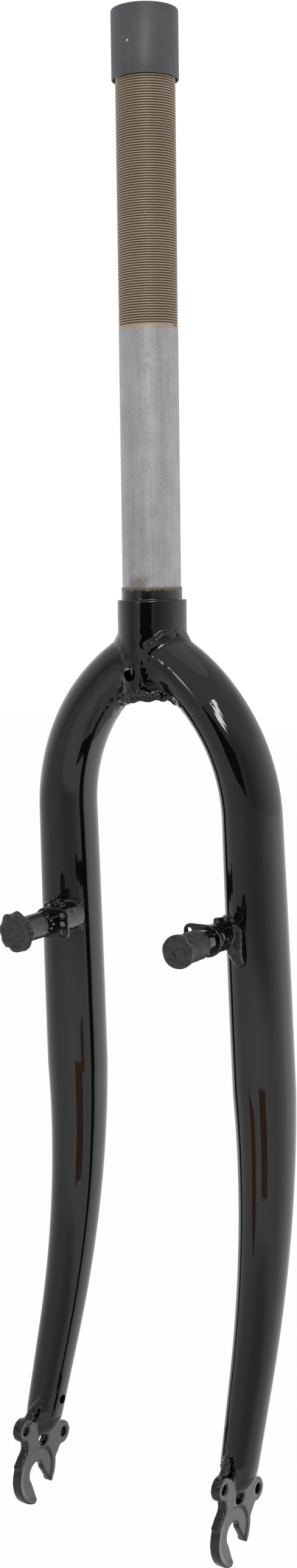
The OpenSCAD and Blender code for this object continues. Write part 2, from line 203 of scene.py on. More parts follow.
steerer_r = 0.0127
bore_r = 0.0111
steerer_top = 0.2433
thread_low = 0.1140
pitch = 0.0254 / 24
thread_deep = 0.00058
seat_top = 0.0053
joint_top = -0.0030
stain_at = (0.0010, -0.0127, 0.0068)
smudges = ((0.0062, -0.0111, 0.1030), (0.0062, -0.0111, 0.0985))
steel, shader, nodes, place = new_material("bare_steel")
long_place = nodes.out("ShaderNodeMapping", Vector=place, Scale=(900, 900, 25))
grain = nodes.out("ShaderNodeTexNoise", Vector=long_place, Scale=1.0, Detail=4.0)
speck = grain_of(nodes, place, 1500.0, 4.0)
mottle = grain_of(nodes, place, 160.0, 5.0)
cloud = grain_of(nodes, place, 38.0, 3.0)
up = nodes.out("ShaderNodeSeparateXYZ", output=2, Vector=place)
across = nodes.out("ShaderNodeSeparateXYZ", output=0, Vector=place)
along = nodes.out("ShaderNodeSeparateXYZ", output=1, Vector=place)
squared = across * across + along * along
radius = squared.maths("SQRT", squared)
drawn = (grain * 0.25 + speck * 0.35 + mottle * 0.2 + cloud * 0.2).rise(0.34, 0.66)
bare = drawn.tint((0.30, 0.30, 0.315), (0.47, 0.47, 0.485))
# Painted shade: the thread roots are darkened towards a deep brown, a shaded copy of the tan cut colour.
groove_shade = radius.rise(steerer_r - thread_deep * 0.2, steerer_r - thread_deep * 0.9)
cut = (speck * 0.5 + cloud * 0.5).rise(0.3, 0.7).tint((0.37, 0.30, 0.22), (0.46, 0.385, 0.295))
cut = groove_shade.tint(cut, (0.13, 0.085, 0.05))
tone = up.rise(thread_low - 0.0004, thread_low + 0.0003).tint(bare, cut)
stain = distance_to(nodes, place, stain_at)
foot_rust = (mottle * 0.010 + up).rise(0.0126, 0.0092) * mottle.rise(0.35, 0.55) * 0.7
rust = foot_rust.most((stain + mottle * 0.006).rise(0.0098, 0.0048) * 0.75)
tone = (rust * speck.rise(0.2, 0.6)).tint(tone, (0.145, 0.10, 0.062))
for spot in smudges:
    smudge = (distance_to(nodes, place, spot) + mottle * 0.0012).rise(0.0026, 0.0008) * 0.35
    tone = smudge.tint(tone, (0.16, 0.15, 0.14))
feed(nodes, shader.inputs["Base Color"], tone)
feed(nodes, shader.inputs["Roughness"], grain * 0.12 + 0.46)
shader.inputs["Metallic"].default_value = 0.35
bump = nodes.out("ShaderNodeBump", Strength=0.35, Distance=0.00012, Height=speck * 0.6 + grain * 0.4)
feed(nodes, shader.inputs["Normal"], bump)

profile = [(steerer_r, 0.0020), (steerer_r, thread_low)]
for k in range(int((steerer_top - 0.001 - thread_low) / pitch)):
    deep = thread_deep * min(1, (k + 0.4) / 1.5)
    z = thread_low + k * pitch
    profile += [(steerer_r, z + pitch * 0.10), (steerer_r - deep, z + pitch * 0.46),
                (steerer_r - deep, z + pitch * 0.54), (steerer_r, z + pitch * 0.90), (steerer_r, z + pitch)]
finish_mesh("steerer", turned(profile, 96, rise=pitch), steel, ["steerer_tube"], smooth_deg=30)
profile = [(bore_r, joint_top - 0.0005), (bore_r, steerer_top), (steerer_r - 0.0008, steerer_top),
           (steerer_r, steerer_top - 0.0008), (steerer_r, steerer_top - 0.003)]
finish_mesh("steerer_bore", turned(profile, 96), steel, check_normals=False)

# Thread protector
# A thin grey plastic sleeve with a lip, hung on the steerer's end to keep its thread clean.
# It stands off the thread all round, so its lower end shows a dark gap.
sleeve_r = 0.0142
sleeve_top = 0.2450
sleeve_low = 0.2168
sleeve_wall = 0.0007
lip = 0.0017
lip_bore_r = 0.0115
chips = ((-0.0128, -0.0062, 0.2290), (0.0003, -0.0142, 0.2300))
sleeve_grey, shader, nodes, place = new_material("sleeve_grey")
speck = grain_of(nodes, place, 900.0, 4.0)
scuff = grain_of(nodes, place, 120.0, 3.0)
tone = (speck * 0.6 + scuff * 0.4).rise(0.3, 0.7).tint((0.066, 0.064, 0.070), (0.092, 0.089, 0.096))
for spot in chips:
    chip = distance_to(nodes, place, spot).rise(0.0007, 0.0003)
    tone = chip.tint(tone, (0.55, 0.55, 0.56))
feed(nodes, shader.inputs["Base Color"], tone)
feed(nodes, shader.inputs["Roughness"], speck * 0.12 + 0.42)
bump = nodes.out("ShaderNodeBump", Strength=0.3, Distance=0.0001, Height=speck)
feed(nodes, shader.inputs["Normal"], bump)
profile = [(lip_bore_r, sleeve_top - lip), (lip_bore_r, sleeve_top - 0.0002),
           (lip_bore_r + 0.0002, sleeve_top), (sleeve_r - 0.0006, sleeve_top),
           (sleeve_r - 0.0002, sleeve_top - 0.0002),
           (sleeve_r, sleeve_top - 0.0007), (sleeve_r, sleeve_low + 0.0002), (sleeve_r - 0.0001, sleeve_low),
           (sleeve_r - 0.0006, sleeve_low), (sleeve_r - sleeve_wall, sleeve_low + 0.0002),
           (sleeve_r - sleeve_wall, sleeve_top - lip), (lip_bore_r, sleeve_top - lip)]
finish_mesh("thread_protector_sleeve", turned(profile, 128), sleeve_grey,
            ["thread_protector"], smooth_deg=50)


# Crown tube's top
# The thick lower end of the steerer: its race seat and its shoulder, sprayed with the blades.
# The paint stops at the top of the seat, and is thin and rusty there.
def black_paint(name, seat=False):
    """Gloss black paint: faint orange peel, a few sags and fine dust. On the race seat it is thin."""
    material, shader, nodes, place = new_material(name)
    peel = grain_of(nodes, place, 330.0)
    sag = grain_of(nodes, place, 55.0, 1.0)
    dust = grain_of(nodes, place, 1800.0, 3.0)
    haze = grain_of(nodes, place, 30.0, 4.0)
    dusty = dust.rise(0.60, 0.80) * 0.25 + haze.rise(0.4, 0.8) * 0.2
    colour = dusty.tint((0.0030, 0.0028, 0.0032), (0.016, 0.015, 0.016))
    rough = haze.rise(0.3, 0.8) * 0.05 + 0.035
    if seat:
        up = nodes.out("ShaderNodeSeparateXYZ", output=2, Vector=place)
        edge = (up + peel * 0.0022).rise(seat_top - 0.0008, seat_top + 0.0007)
        colour = (edge * dust.rise(0.25, 0.6)).tint(colour, (0.26, 0.20, 0.13))
        rough = rough + edge * 0.4
        dull = (up + sag * 0.003).rise(0.0022, 0.0035) * 0.3
        colour = dull.tint(colour, (0.035, 0.033, 0.033))
        rough = rough + dull * 0.2
    feed(nodes, shader.inputs["Base Color"], colour)
    feed(nodes, shader.inputs["Roughness"], rough)
    bump = nodes.out("ShaderNodeBump", Strength=0.22, Distance=0.0005, Height=peel * 0.12 + sag * 1.0)
    feed(nodes, shader.inputs["Normal"], bump)
    shader.inputs["IOR"].default_value = 1.52
    return material


crown_r = 0.0151
seat_r = 0.0132
seat_paint = black_paint("seat_paint", seat=True)
profile = [(crown_r - 0.0002, joint_top - 0.0020), (crown_r - 0.00001, joint_top - 0.0018),
           (crown_r - 0.00001, joint_top - 0.0001), (crown_r, joint_top), (crown_r, -0.0012),
           (crown_r, -0.0007), (crown_r - 0.0001, -0.00035), (crown_r - 0.00035, -0.0001),
           (crown_r - 0.0007, 0), (seat_r + 0.0004, 0), (seat_r + 0.0002, 0.00006),
           (seat_r + 0.00006, 0.0002), (seat_r, 0.0004), (seat_r, 0.0008),
           (seat_r, seat_top - 0.0008), (seat_r, seat_top - 0.0004),
           (seat_r - 0.00012, seat_top - 0.0001), (seat_r - 0.0004, seat_top), (seat_r - 0.0006, seat_top)]
finish_mesh("race_seat", turned(profile, 128), seat_paint, check_normals=False)


# Crown joint
# The tops of the two bent blades are coped round the crown tube and welded to it all round.
# The weld is a wide hollow fillet, lumpy underneath, and everything is under one coat of paint.
blade_d = 0.0280
squash_d = 0.0236
bend_r = 0.0810
blade_off = 0.0478
bend_drop = 0.0954
lean_drop = 0.046
lean = math.radians(2.9)
rake_drop = 0.222
rake_r = 0.310
rake = math.radians(19.3)
taper_drop = 0.216
tip_d = 0.0169
dome_l = 0.012
blade_end = 0.387
dome_drop = blade_end - dome_l
axle_drop = 0.4024
end_x = 0.050
end_t = 0.0045
bend_x0 = blade_off - bend_r
splay = (end_x + end_t / 2 - blade_off) / (axle_drop - bend_drop)
blade_sides = 72
joint_end = 0.0470
stub_start = 0.0225
skin_from = 0.0220
stub_step = 0.00175
crown_low = 0.0424
rim_level = 0.0385
brake_hole_r = 0.0033
brake_hole_x = -0.0030
brake_hole_z = -0.0317
joint_voxel = 0.00055
tiny = 0.0002


def line_at(drop):
    """Centre line of the right blade at a depth below the crown shoulder."""
    if drop < bend_drop:
        x = bend_x0 + math.sqrt(bend_r ** 2 - (bend_drop - drop) ** 2)
    else:
        x = blade_off + (drop - bend_drop) * splay
    start = (rake_drop - lean_drop) * math.tan(lean)
    rake_end = rake_drop + rake_r * (math.sin(rake) + math.sin(lean))
    if drop < lean_drop:
        y = 0
    elif drop < rake_drop:
        y = (drop - lean_drop) * math.tan(lean)
    elif drop < rake_end:
        turn = math.asin((drop - rake_drop) / rake_r - math.sin(lean))
        y = start + rake_r * (math.cos(turn) - math.cos(lean))
    else:
        y = start + rake_r * (math.cos(rake) - math.cos(lean)) - (drop - rake_end) * math.tan(rake)
    return Vector((x, y, -drop))


def blade_radii(drop):
    """Half width in the plane of the crown bend, and across it."""
    if drop < taper_drop:
        wide = blade_d / 2
    elif drop < dome_drop:
        wide = blade_d / 2 - (blade_d - tip_d) / 2 * (drop - taper_drop) / (dome_drop - taper_drop)
    else:
        wide = tip_d / 2 * math.sqrt(max(0.0, 1 - ((drop - dome_drop) / dome_l) ** 2))
    press = min(1, max(0, (drop - 0.030) / (taper_drop - 0.030)))
    flat = (blade_d - squash_d) / 2 * (1 - math.sin(math.pi / 2 * press))
    return wide - flat, wide


def blade_point(drop, turn, under=0.0):
    """A point of the right blade's skin, turn radians round from its inner side."""
    along = (line_at(drop + tiny) - line_at(drop - tiny)).normalized()
    inward = Vector((0, 1, 0)).cross(along).normalized()
    across = along.cross(inward)
    in_bend, wide = blade_radii(drop)
    return (line_at(drop) + inward * (in_bend - under) * math.cos(turn)
            + across * (wide - under) * math.sin(turn))


def draw_tube(bm, rings, side):
    """A closed tube through rings of points, on the right (side 1) or the left (side -1)."""
    first = bmesh.ops.create_circle(bm, segments=len(rings[0]), radius=0.01)["verts"]
    for vert, point in zip(first, rings[0]):
        vert.co = (point.x * side, point.y, point.z)
    edges = list({edge for vert in first for edge in vert.link_edges})
    bmesh.ops.contextual_create(bm, geom=edges)
    for points in rings[1:]:
        drawn = bmesh.ops.extrude_edge_only(bm, edges=edges)["geom"]
        ring = [v for v in drawn if isinstance(v, bmesh.types.BMVert)]
        edges = [e for e in drawn if isinstance(e, bmesh.types.BMEdge) and all(v in ring for v in e.verts)]
        for vert, point in zip(ring, points):
            vert.co = (point.x * side, point.y, point.z)
    bmesh.ops.contextual_create(bm, geom=edges)


def blade_ring(drop, under=0.0):
    return [blade_point(drop, 2 * math.pi * i / blade_sides, under) for i in range(blade_sides)]


def cope_point(turn):
    """A point of the curve where the right blade meets the crown tube."""
    y = blade_d / 2 * math.sin(turn)
    x = math.sqrt(crown_r ** 2 - y ** 2)
    reach = bend_r + squash_d / 2 * math.cos(turn)
    return Vector((x, y, math.sqrt(reach ** 2 - (x - bend_x0) ** 2) - bend_drop))


def add_ball(bm, at, size, side=1):
    spot = Matrix.Translation((at[0] * side, at[1], at[2]))
    bmesh.ops.create_icosphere(bm, subdivisions=2, radius=size, matrix=spot)


def fused(bm, voxel):
    """The shells of a bmesh made into one skin of even small faces."""
    bmesh.ops.recalc_face_normals(bm, faces=bm.faces)
    rough = link_mesh("rough", bm)
    remesh = rough.modifiers.new("remesh", "REMESH")
    remesh.mode = "VOXEL"
    remesh.voxel_size = voxel
    skin = bmesh.new()
    skin.from_object(rough, bpy.context.evaluated_depsgraph_get())
    bpy.data.objects.remove(rough)
    return skin


def cut_away(bm, cutters):
    """A bmesh with closed cutting shapes taken out of it."""
    body = link_mesh("body", bm)
    for cutter in cutters:
        tool = link_mesh("cutter", cutter)
        boolean = body.modifiers.new("cut", "BOOLEAN")
        boolean.operation = "DIFFERENCE"
        boolean.solver = "EXACT"
        boolean.object = tool
    cut = bmesh.new()
    cut.from_object(body, bpy.context.evaluated_depsgraph_get())
    for boolean in list(body.modifiers):
        tool = boolean.object
        body.modifiers.remove(boolean)
        bpy.data.objects.remove(tool)
    bpy.data.objects.remove(body)
    return cut


def rod(radius, length, matrix, sides=64):
    bm = bmesh.new()
    bmesh.ops.create_cone(bm, cap_ends=True, segments=sides, radius1=radius, radius2=radius,
                          depth=length, matrix=matrix)
    return bm


def soften(bm, verts, steps):
    for step in range(steps):
        bmesh.ops.smooth_vert(bm, verts=verts, factor=0.5, use_axis_x=True, use_axis_y=True, use_axis_z=True)


def share_of(value, start, span):
    """How far a value has gone past start, as a share of a span, from 0 to 1."""
    return min(1, max(0, (value - start) / span))


def round_tube(reach, around, drop):
    """A point round the crown tube, by its distance from the middle, its turn in degrees and its depth."""
    turn = math.radians(around)
    return Vector((reach * math.cos(turn), reach * math.sin(turn), -drop))


bm = bmesh.new()
bmesh.ops.create_cone(bm, cap_ends=True, segments=160, radius1=crown_r, radius2=crown_r, depth=crown_low,
                      matrix=Matrix.Translation((0, 0, -crown_low / 2)))
stub_rings = [blade_ring(stub_start + stub_step * k) for k in range(22)]
weld_line = []
for side in (-1, 1):
    draw_tube(bm, stub_rings, side)
    for k in range(120):
        turn = 2 * math.pi * k / 120
        at = cope_point(turn)
        tube_out = Vector((at.x, at.y, 0)).normalized()
        from_bend = Vector((at.x - bend_x0, 0, at.z + bend_drop)).normalized()
        blade_out = from_bend * math.cos(turn) / squash_d + Vector((0, 1, 0)) * math.sin(turn) / blade_d
        outward = (tube_out + blade_out.normalized()).normalized()
        low = (1 - math.cos(turn)) / 2
        size = 0.0026 - 0.0009 * low ** 3
        sink = 0.0006 + 0.0013 * abs(math.sin(turn)) - 0.0004 * low ** 3
        wave = 0.00015 * math.sin(k * 0.9 + side) * (1 + 2 * low)
        add_ball(bm, at - outward * (sink + wave), size, side)
        weld_line.append(Vector((at.x * side, at.y, at.z)))
for k in range(70):
    around = 2 * math.pi * k / 70
    size = 0.0013 + 0.0005 * random.random()
    reach = crown_r - 0.0010 + 0.0005 * random.random()
    drop = crown_low + 0.0004 * random.random() - 0.0006
    add_ball(bm, (reach * math.cos(around), reach * math.sin(around), -drop), size)
drips = ((-123, 0.0415, 0.0019), (-113, 0.0424, 0.0021), (-104, 0.0428, 0.0020), (-94, 0.0425, 0.0021),
         (-86, 0.0418, 0.0017), (-78, 0.0420, 0.0016), (-72, 0.0414, 0.0018), (-60, 0.0416, 0.0017),
         (-48, 0.0410, 0.0019), (-37, 0.0412, 0.0017), (-26, 0.0415, 0.0018), (-135, 0.0405, 0.0018))
for around, drop, size in drips:
    add_ball(bm, round_tube(crown_r - 0.0002, around, drop), size)
ridge_beads = ((-66, 0.0192, 0.0012), (-61, 0.0186, 0.0013), (-56, 0.0178, 0.0012), (-52, 0.0170, 0.0015),
               (-47, 0.0160, 0.0013), (-43, 0.0151, 0.0015), (-38, 0.0145, 0.0014), (-32, 0.0144, 0.0012),
               (-25, 0.0147, 0.0012), (-15, 0.0147, 0.0012), (-8, 0.0150, 0.0011))
ridge = []
for around, drop, size in ridge_beads:
    ridge.append(round_tube(crown_r + 0.0006, around, drop))
    add_ball(bm, ridge[-1], size)
brake_hole = Matrix.Translation((brake_hole_x, 0, brake_hole_z)) @ Matrix.Rotation(math.pi / 2, 4, "X")
skin = cut_away(fused(bm, joint_voxel), [rod(bore_r, 0.080, Matrix.Translation((0, 0, -0.030)), 96),
                                         rod(brake_hole_r, 0.050, brake_hole)])

weld_tree = KDTree(len(weld_line))
for k, at in enumerate(weld_line):
    weld_tree.insert(at, k)
weld_tree.balance()


def on_blade(at):
    """The nearest point of the bent blade's true skin."""
    side = 1 if at.x > 0 else -1
    x = at.x * side - bend_x0
    z = at.z + bend_drop
    reach = math.hypot(x, z)
    angle = math.atan2(z, x)
    drop = bend_drop - bend_r * math.sin(angle)
    in_bend, wide = blade_radii(max(drop, skin_from))
    middle = line_at(max(drop, skin_from)).y
    u, v = reach - bend_r, at.y - middle
    scale = 1 / max(1e-6, math.hypot(u / in_bend, v / wide))
    reach = bend_r + u * scale
    x = bend_x0 + reach * math.cos(angle)
    return Vector((side * x, middle + v * scale, reach * math.sin(angle) - bend_drop))


def on_tube(at):
    scale = crown_r / max(1e-6, math.hypot(at.x, at.y))
    return Vector((at.x * scale, at.y * scale, at.z))


def in_bore(at):
    """True on the walls of the bore and of the brake hole, which stay as drilled."""
    from_brake_hole = math.hypot(at.x - brake_hole_x, at.z - brake_hole_z)
    return math.hypot(at.x, at.y) < bore_r + 0.00003 or from_brake_hole < brake_hole_r + 0.00003


outer_verts = [v for v in skin.verts if not in_bore(v.co)]
joint_verts = [v for v in outer_verts if weld_tree.find(v.co)[2] < 0.0100 and v.co.z > -rim_level
               and min((v.co - at).length for at in ridge) > 0.0019]
soften(skin, joint_verts, 20)
soften(skin, outer_verts, 2)
skin.normal_update()
moves = []
for vert in outer_verts:
    far = weld_tree.find(vert.co)[2]
    blade, tube = on_blade(vert.co), on_tube(vert.co)
    nearest = blade if (blade - vert.co).length < (tube - vert.co).length or vert.co.z < -0.050 else tube
    share = share_of(far, 0.0065, 0.0045)
    share = share * share * (3 - 2 * share)
    if vert.co.z < -rim_level and math.hypot(vert.co.x, vert.co.y) < crown_r + 0.0025:
        share = 0
    lumpy = (1 - share) * (1 if vert.co.y < 0 and vert.co.x > -0.002 else 0.45)
    rough = noise.noise(vert.co * 380) * 0.00012 + noise.noise(vert.co * 800) * 0.00004
    if vert.co.z < -0.036:
        rough = rough * 3.2
    moves.append(vert.co.lerp(nearest, share) + vert.normal * rough * lumpy)
for vert, at in zip(outer_verts, moves):
    vert.co = at
bmesh.ops.bisect_plane(skin, geom=skin.verts[:] + skin.edges[:] + skin.faces[:],
                       plane_co=(0, 0, joint_top), plane_no=(0, 0, 1), clear_outer=True)
for side in (-1, 1):
    along = line_at(joint_end + tiny) - line_at(joint_end - tiny)
    bmesh.ops.bisect_plane(skin, geom=skin.verts[:] + skin.edges[:] + skin.faces[:], clear_outer=True,
                           plane_co=(line_at(joint_end).x * side, 0, -joint_end),
                           plane_no=Vector((along.x * side, 0, along.z)).normalized())
joint_paint = black_paint("joint_paint")
finish_mesh("crown_joint", skin, joint_paint, ["crown_weld"],
            smooth_deg=50, check_normals=False)

# Blades
# Two seamless steel tubes, bent in at the top, raked forward at the bottom and drawn
# down to a taper. They are one with the crown joint above and with their tips below.
blade_paint = black_paint("blade_paint")
tip_low = 0.3735
vent_drop = 0.3695
vent_r = 0.0022


def vent_rod(side):
    """The drilled vent hole on the inner side of a blade's tip, as a cutting shape."""
    middle = line_at(vent_drop)
    hole = Matrix.Translation(((middle.x - 0.0085) * side, middle.y, middle.z))
    return rod(vent_r, 0.008, hole @ Matrix.Rotation(math.pi / 2, 4, "Y"), 32)


overlap = 0.0015
tuck = 0.00002
drops = [joint_end - overlap + (bend_drop - joint_end + overlap) * k / 32 for k in range(33)]
drops += [bend_drop + (tip_low - bend_drop) * k / 88 for k in range(1, 89)]
for side, name in ((-1, "left_blade"), (1, "right_blade")):
    bm = bmesh.new()
    rings = [blade_ring(drop, 0 if joint_end + 0.001 < drop < tip_low - 0.001 else tuck) for drop in drops]
    draw_tube(bm, rings, side)
    bmesh.ops.recalc_face_normals(bm, faces=bm.faces)
    bm = cut_away(bm, [vent_rod(side)])
    finish_mesh(name + "_tube", bm, blade_paint, [name], smooth_deg=35, check_normals=False)

# Tips and fork ends
# Each blade is closed with a dome, slotted, and brazed to a flat steel end with an open axle
# slot, a washer recess on each face and two eyelets. A weld runs from its front to the ear.
axle_y = line_at(axle_drop).y
tip_start = 0.3550
end_weld_top = 0.3670
end_weld_foot = 0.3770
round_until = 0.3745
plate_from = 0.3790
plate_core = 0.0012
tip_voxel = 0.00036
end_paint = black_paint("end_paint")


def add_node(bm, node):
    """A merged copy of a CAD node's shape."""
    bm.from_mesh(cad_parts[node].data)
    bmesh.ops.remove_doubles(bm, verts=bm.verts, dist=1e-6)


def on_tip(at):
    """A point's depth along the right blade's tip, how far off the skin it is, and the skin there."""
    drop = -at.z
    for step in range(4):
        along = (line_at(drop + tiny) - line_at(drop - tiny)).normalized()
        drop -= (at - line_at(drop)).dot(along) * along.z
    middle = line_at(drop)
    out = at - middle
    wide = blade_radii(drop)[1]
    return drop, out.length - wide, middle + out.normalized() * wide


tip_drops = [tip_start + 0.0010 * k for k in range(20)]
tip_drops += [dome_drop + dome_l * math.sin(math.pi / 2 * k / 10) for k in range(1, 10)]
tip_drops += [blade_end - 0.00001]
for side, name in ((-1, "left"), (1, "right")):
    bm = bmesh.new()
    add_node(bm, name + "_fork_end")
    draw_tube(bm, [blade_ring(drop) for drop in tip_drops], side)
    top = Vector((end_x + 0.0004, line_at(end_weld_top).y - 0.0076, -end_weld_top))
    foot = Vector((end_x + end_t / 2, axle_y - 0.0088, -end_weld_foot))
    for k in range(11):
        at = top.lerp(foot, k / 10)
        wander = Vector((noise.noise(at * 500 + Vector((side, 0, 0))) * 0.0014, 0, 0))
        add_ball(bm, at + wander, 0.0017 + 0.0007 * noise.noise(at * 700), side)
        if k % 2:
            add_ball(bm, at + Vector((-0.0014, 0.0010, 0)) + wander, 0.0015, side)
    for step, size in (((-0.0010, -0.0002, 0.0008), 0.0013), ((0.0014, 0.0003, 0.0004), 0.0012)):
        add_ball(bm, top + Vector(step), size, side)
    skin = fused(bm, tip_voxel)
    dome = [v for v in skin.verts
            if -0.3910 < v.co.z < -0.3725 and abs(abs(v.co.x) - end_x - end_t / 2) > plate_core]
    soften(skin, dome, 16)
    soften(skin, [v for v in skin.verts if v.co.z < -plate_from], 10)
    soften(skin, skin.verts[:], 3)
    for vert in skin.verts:
        if vert.co.z > -round_until:
            drop, off, nearest = on_tip(Vector((vert.co.x * side, vert.co.y, vert.co.z)))
            share = share_of(0.0008 - abs(off), 0, 0.0005) * min(1, (vert.co.z + round_until) / 0.002)
            vert.co = vert.co.lerp(Vector((nearest.x * side, nearest.y, nearest.z)), share)
    inside = []
    for face in skin.faces:
        at = face.calc_center_median()
        if at.z > -end_weld_foot:
            drop, off, nearest = on_tip(Vector((at.x * side, at.y, at.z)))
            if drop < tip_low - 0.0005 and off < 0.00004:
                inside.append(face)
    bmesh.ops.delete(skin, geom=inside, context="FACES")
    finish_mesh(name + "_tip", skin, end_paint, [name + "_fork_end", name + "_end_weld"],
                smooth_deg=60, check_normals=False)

# Brake posts
# A round boss is coped and welded to the front of each blade, with a spring plate on its face
# and a turned post pressed through both. The left weld is lumpy, the right has a smooth lobe below.
post_x = 0.0410
post_z = -0.1425
plate_y = -0.0264
boss_r = 0.0064
shoulder_l = 0.0058
front_y = -0.0118
lobe_l = 0.0125
boss_voxel = 0.00030
post_paint = black_paint("post_paint")
for side, name in ((-1, "left"), (1, "right")):
    bm = bmesh.new()
    add_node(bm, name + "_brake_boss")
    add_node(bm, name + "_spring_plate")
    middle = line_at(-post_z)
    for k in range(-19, 20):
        turn = math.radians(k * 6)
        reach = boss_r - 0.0002
        x = post_x + reach * math.cos(turn)
        y = middle.y - math.sqrt(max(0, (blade_d / 2) ** 2 - (x - middle.x) ** 2))
        size = 0.0019 + 0.0004 * noise.noise(Vector((k * 0.6, side, 0)))
        add_ball(bm, (x, y - 0.0001, post_z + reach * math.sin(turn)), size, side)
    if side < 0:
        for k in range(12):
            x = post_x + random.uniform(0.0, 0.0055)
            at = Vector((x, front_y - 0.0007 * k, post_z + boss_r + 0.0006 - 0.00015 * k))
            add_ball(bm, at, random.uniform(0.0013, 0.0020), side)
        for k in range(8):
            z = post_z - boss_r - 0.0012 + 0.0001 * k
            at = Vector((post_x + 0.0040, front_y - 0.0010 - 0.0006 * k, z))
            add_ball(bm, at, 0.0018 - 0.0001 * k, side)
    else:
        for k in range(6):
            x = post_x + random.uniform(-0.001, 0.002)
            at = Vector((x, front_y - 0.0002 - 0.0010 * k, post_z + boss_r + 0.0004))
            add_ball(bm, at, random.uniform(0.0012, 0.0018), side)
        for k in range(12):
            low = k / 11
            swell = 0.0020 * math.sin(math.pi * low)
            at = Vector((post_x + 0.0040 + 0.0026 * low, -0.0092 - swell, post_z + 0.0010 - lobe_l * low))
            add_ball(bm, at, 0.0050 - 0.0022 * low, side)
    skin = fused(bm, boss_voxel)
    if side > 0:
        soften(skin, [v for v in skin.verts if v.co.y > -0.0235 and v.co.z < post_z + 0.0040], 24)
    soften(skin, skin.verts[:], 5)
    skin.normal_update()
    for vert in skin.verts:
        if vert.co.y > -0.0230:
            vert.co += vert.normal * (noise.noise(vert.co * 500) * 0.00016)
    finish_mesh(name + "_boss", skin, post_paint,
                [name + "_brake_boss", name + "_spring_plate", name + "_boss_weld"],
                smooth_deg=60, check_normals=False)
    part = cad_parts[name + "_brake_post"]
    part.data.materials.clear()
    part.data.materials.append(post_paint)

# Post caps
# A cap is pushed over each post and painted with it: the left one has a wide ragged flange,
# the right one a smaller flange, a wrinkled neck and a dent in its face.
cap_y = plate_y - shoulder_l - 0.0002
cap_paint, shader, nodes, place = new_material("cap_paint")
lump = grain_of(nodes, place, 420.0, 4.0)
fleck = grain_of(nodes, place, 1300.0, 4.0)
tone = (lump * 0.5 + fleck * 0.5).rise(0.35, 0.65).tint((0.008, 0.007, 0.008), (0.040, 0.037, 0.041))
feed(nodes, shader.inputs["Base Color"], tone)
feed(nodes, shader.inputs["Roughness"], lump * 0.35 + 0.12)
bump = nodes.out("ShaderNodeBump", Strength=0.5, Distance=0.0004, Height=lump + fleck * 0.25)
feed(nodes, shader.inputs["Normal"], bump)
cap_shapes = {
    "left": [(0.0041, 0.0002), (0.0052, 0), (0.0056, 0.0002), (0.0057, 0.0006), (0.0057, 0.0115),
             (0.0058, 0.0128), (0.0064, 0.0140), (0.0076, 0.0150), (0.0088, 0.0158), (0.0092, 0.0164),
             (0.0091, 0.0170), (0.0086, 0.0175), (0.0078, 0.0178), (0.0071, 0.0181), (0.0064, 0.0180),
             (0.0058, 0.0176), (0.0050, 0.0175), (0.0001, 0.0177)],
    "right": [(0.0041, 0.0002), (0.0056, 0), (0.0061, 0.0003), (0.0062, 0.0010), (0.0062, 0.0130),
              (0.0063, 0.0145), (0.0067, 0.0152), (0.0072, 0.0158), (0.0073, 0.0164), (0.0073, 0.0172),
              (0.0071, 0.0177), (0.0066, 0.0180), (0.0060, 0.0181), (0.0001, 0.0181)]}
dent_x = -0.0017
dent_y = -0.0013
dent_r = 0.0011
dent_deep = 0.0010
for side, name in ((-1, "left"), (1, "right")):
    profile = []
    for (r0, z0), (r1, z1) in zip(cap_shapes[name], cap_shapes[name][1:]):
        cuts = max(1, int(math.hypot(r1 - r0, z1 - z0) / 0.0003))
        profile += [(r0 + (r1 - r0) * k / cuts, z0 + (z1 - z0) * k / cuts) for k in range(cuts)]
    profile.append(cap_shapes[name][-1])
    bm = turned(profile, 120)
    pinhole = [e for e in bm.edges if e.is_boundary and max(v.co.to_2d().length for v in e.verts) < 0.0002]
    bmesh.ops.holes_fill(bm, edges=pinhole)
    for vert in bm.verts:
        r = vert.co.to_2d().length
        around = math.atan2(vert.co.y, vert.co.x)
        z = vert.co.z
        if name == "left":
            rim = share_of(z, 0.0145, 0.0015) * share_of(r, 0.0066, 0.0015)
            ragged = 0.00034 * math.cos(8 * around + 0.6) + 0.00060 * noise.noise(vert.co * 420)
            swell = rim * (ragged - 0.0003)
        else:
            neck = share_of(z, 0.0012, 0.001) * share_of(0.0150 - z, 0, 0.0015) * (1 if r > 0.005 else 0)
            wrinkle = math.sin(z * 3900 + 2.2 * noise.noise(vert.co * 260) + math.sin(around * 2 + 1) * 1.3)
            swell = neck * (0.00022 * wrinkle + 0.0003 * noise.noise(vert.co * 380))
            rim = share_of(z, 0.0150, 0.001) * (1 if r > 0.006 else 0)
            swell += rim * 0.00025 * noise.noise(vert.co * 330)
        if r > 0.001:
            vert.co.x *= 1 + swell / r
            vert.co.y *= 1 + swell / r
        if z > 0.0172:
            vert.co.z += 0.00012 * noise.noise(vert.co * 300)
            if name == "right":
                from_dent = math.hypot(vert.co.x - dent_x, vert.co.y - dent_y)
                vert.co.z -= dent_deep * max(0, 1 - (from_dent / dent_r) ** 2)
    place_cap = Matrix.Translation((post_x * side, cap_y, post_z)) @ Matrix.Rotation(math.pi / 2, 4, "X")
    bmesh.ops.transform(bm, matrix=place_cap, verts=bm.verts)
    finish_mesh(name + "_cap", bm, cap_paint, [name + "_post_cap"], smooth_deg=60)

# Studio
# A white room with a pale floor far below. What the gloss paint mirrors, such as lamps, a black
# screen and two brown blocks close to the blades, stands round the fork and shows only there.
view_turn = math.atan2(camera_at[1], camera_at[0])


def glow(name, strength, colour=(1, 1, 1)):
    """A material that only gives light, and the shader that gives it."""
    material = bpy.data.materials.new(name)
    material.use_nodes = True
    tree = material.node_tree
    tree.nodes.remove(tree.nodes["Principled BSDF"])
    light = tree.nodes.new("ShaderNodeEmission")
    light.inputs["Color"].default_value = (*colour, 1)
    light.inputs["Strength"].default_value = strength
    tree.links.new(light.outputs[0], tree.nodes["Material Output"].inputs["Surface"])
    return material, light


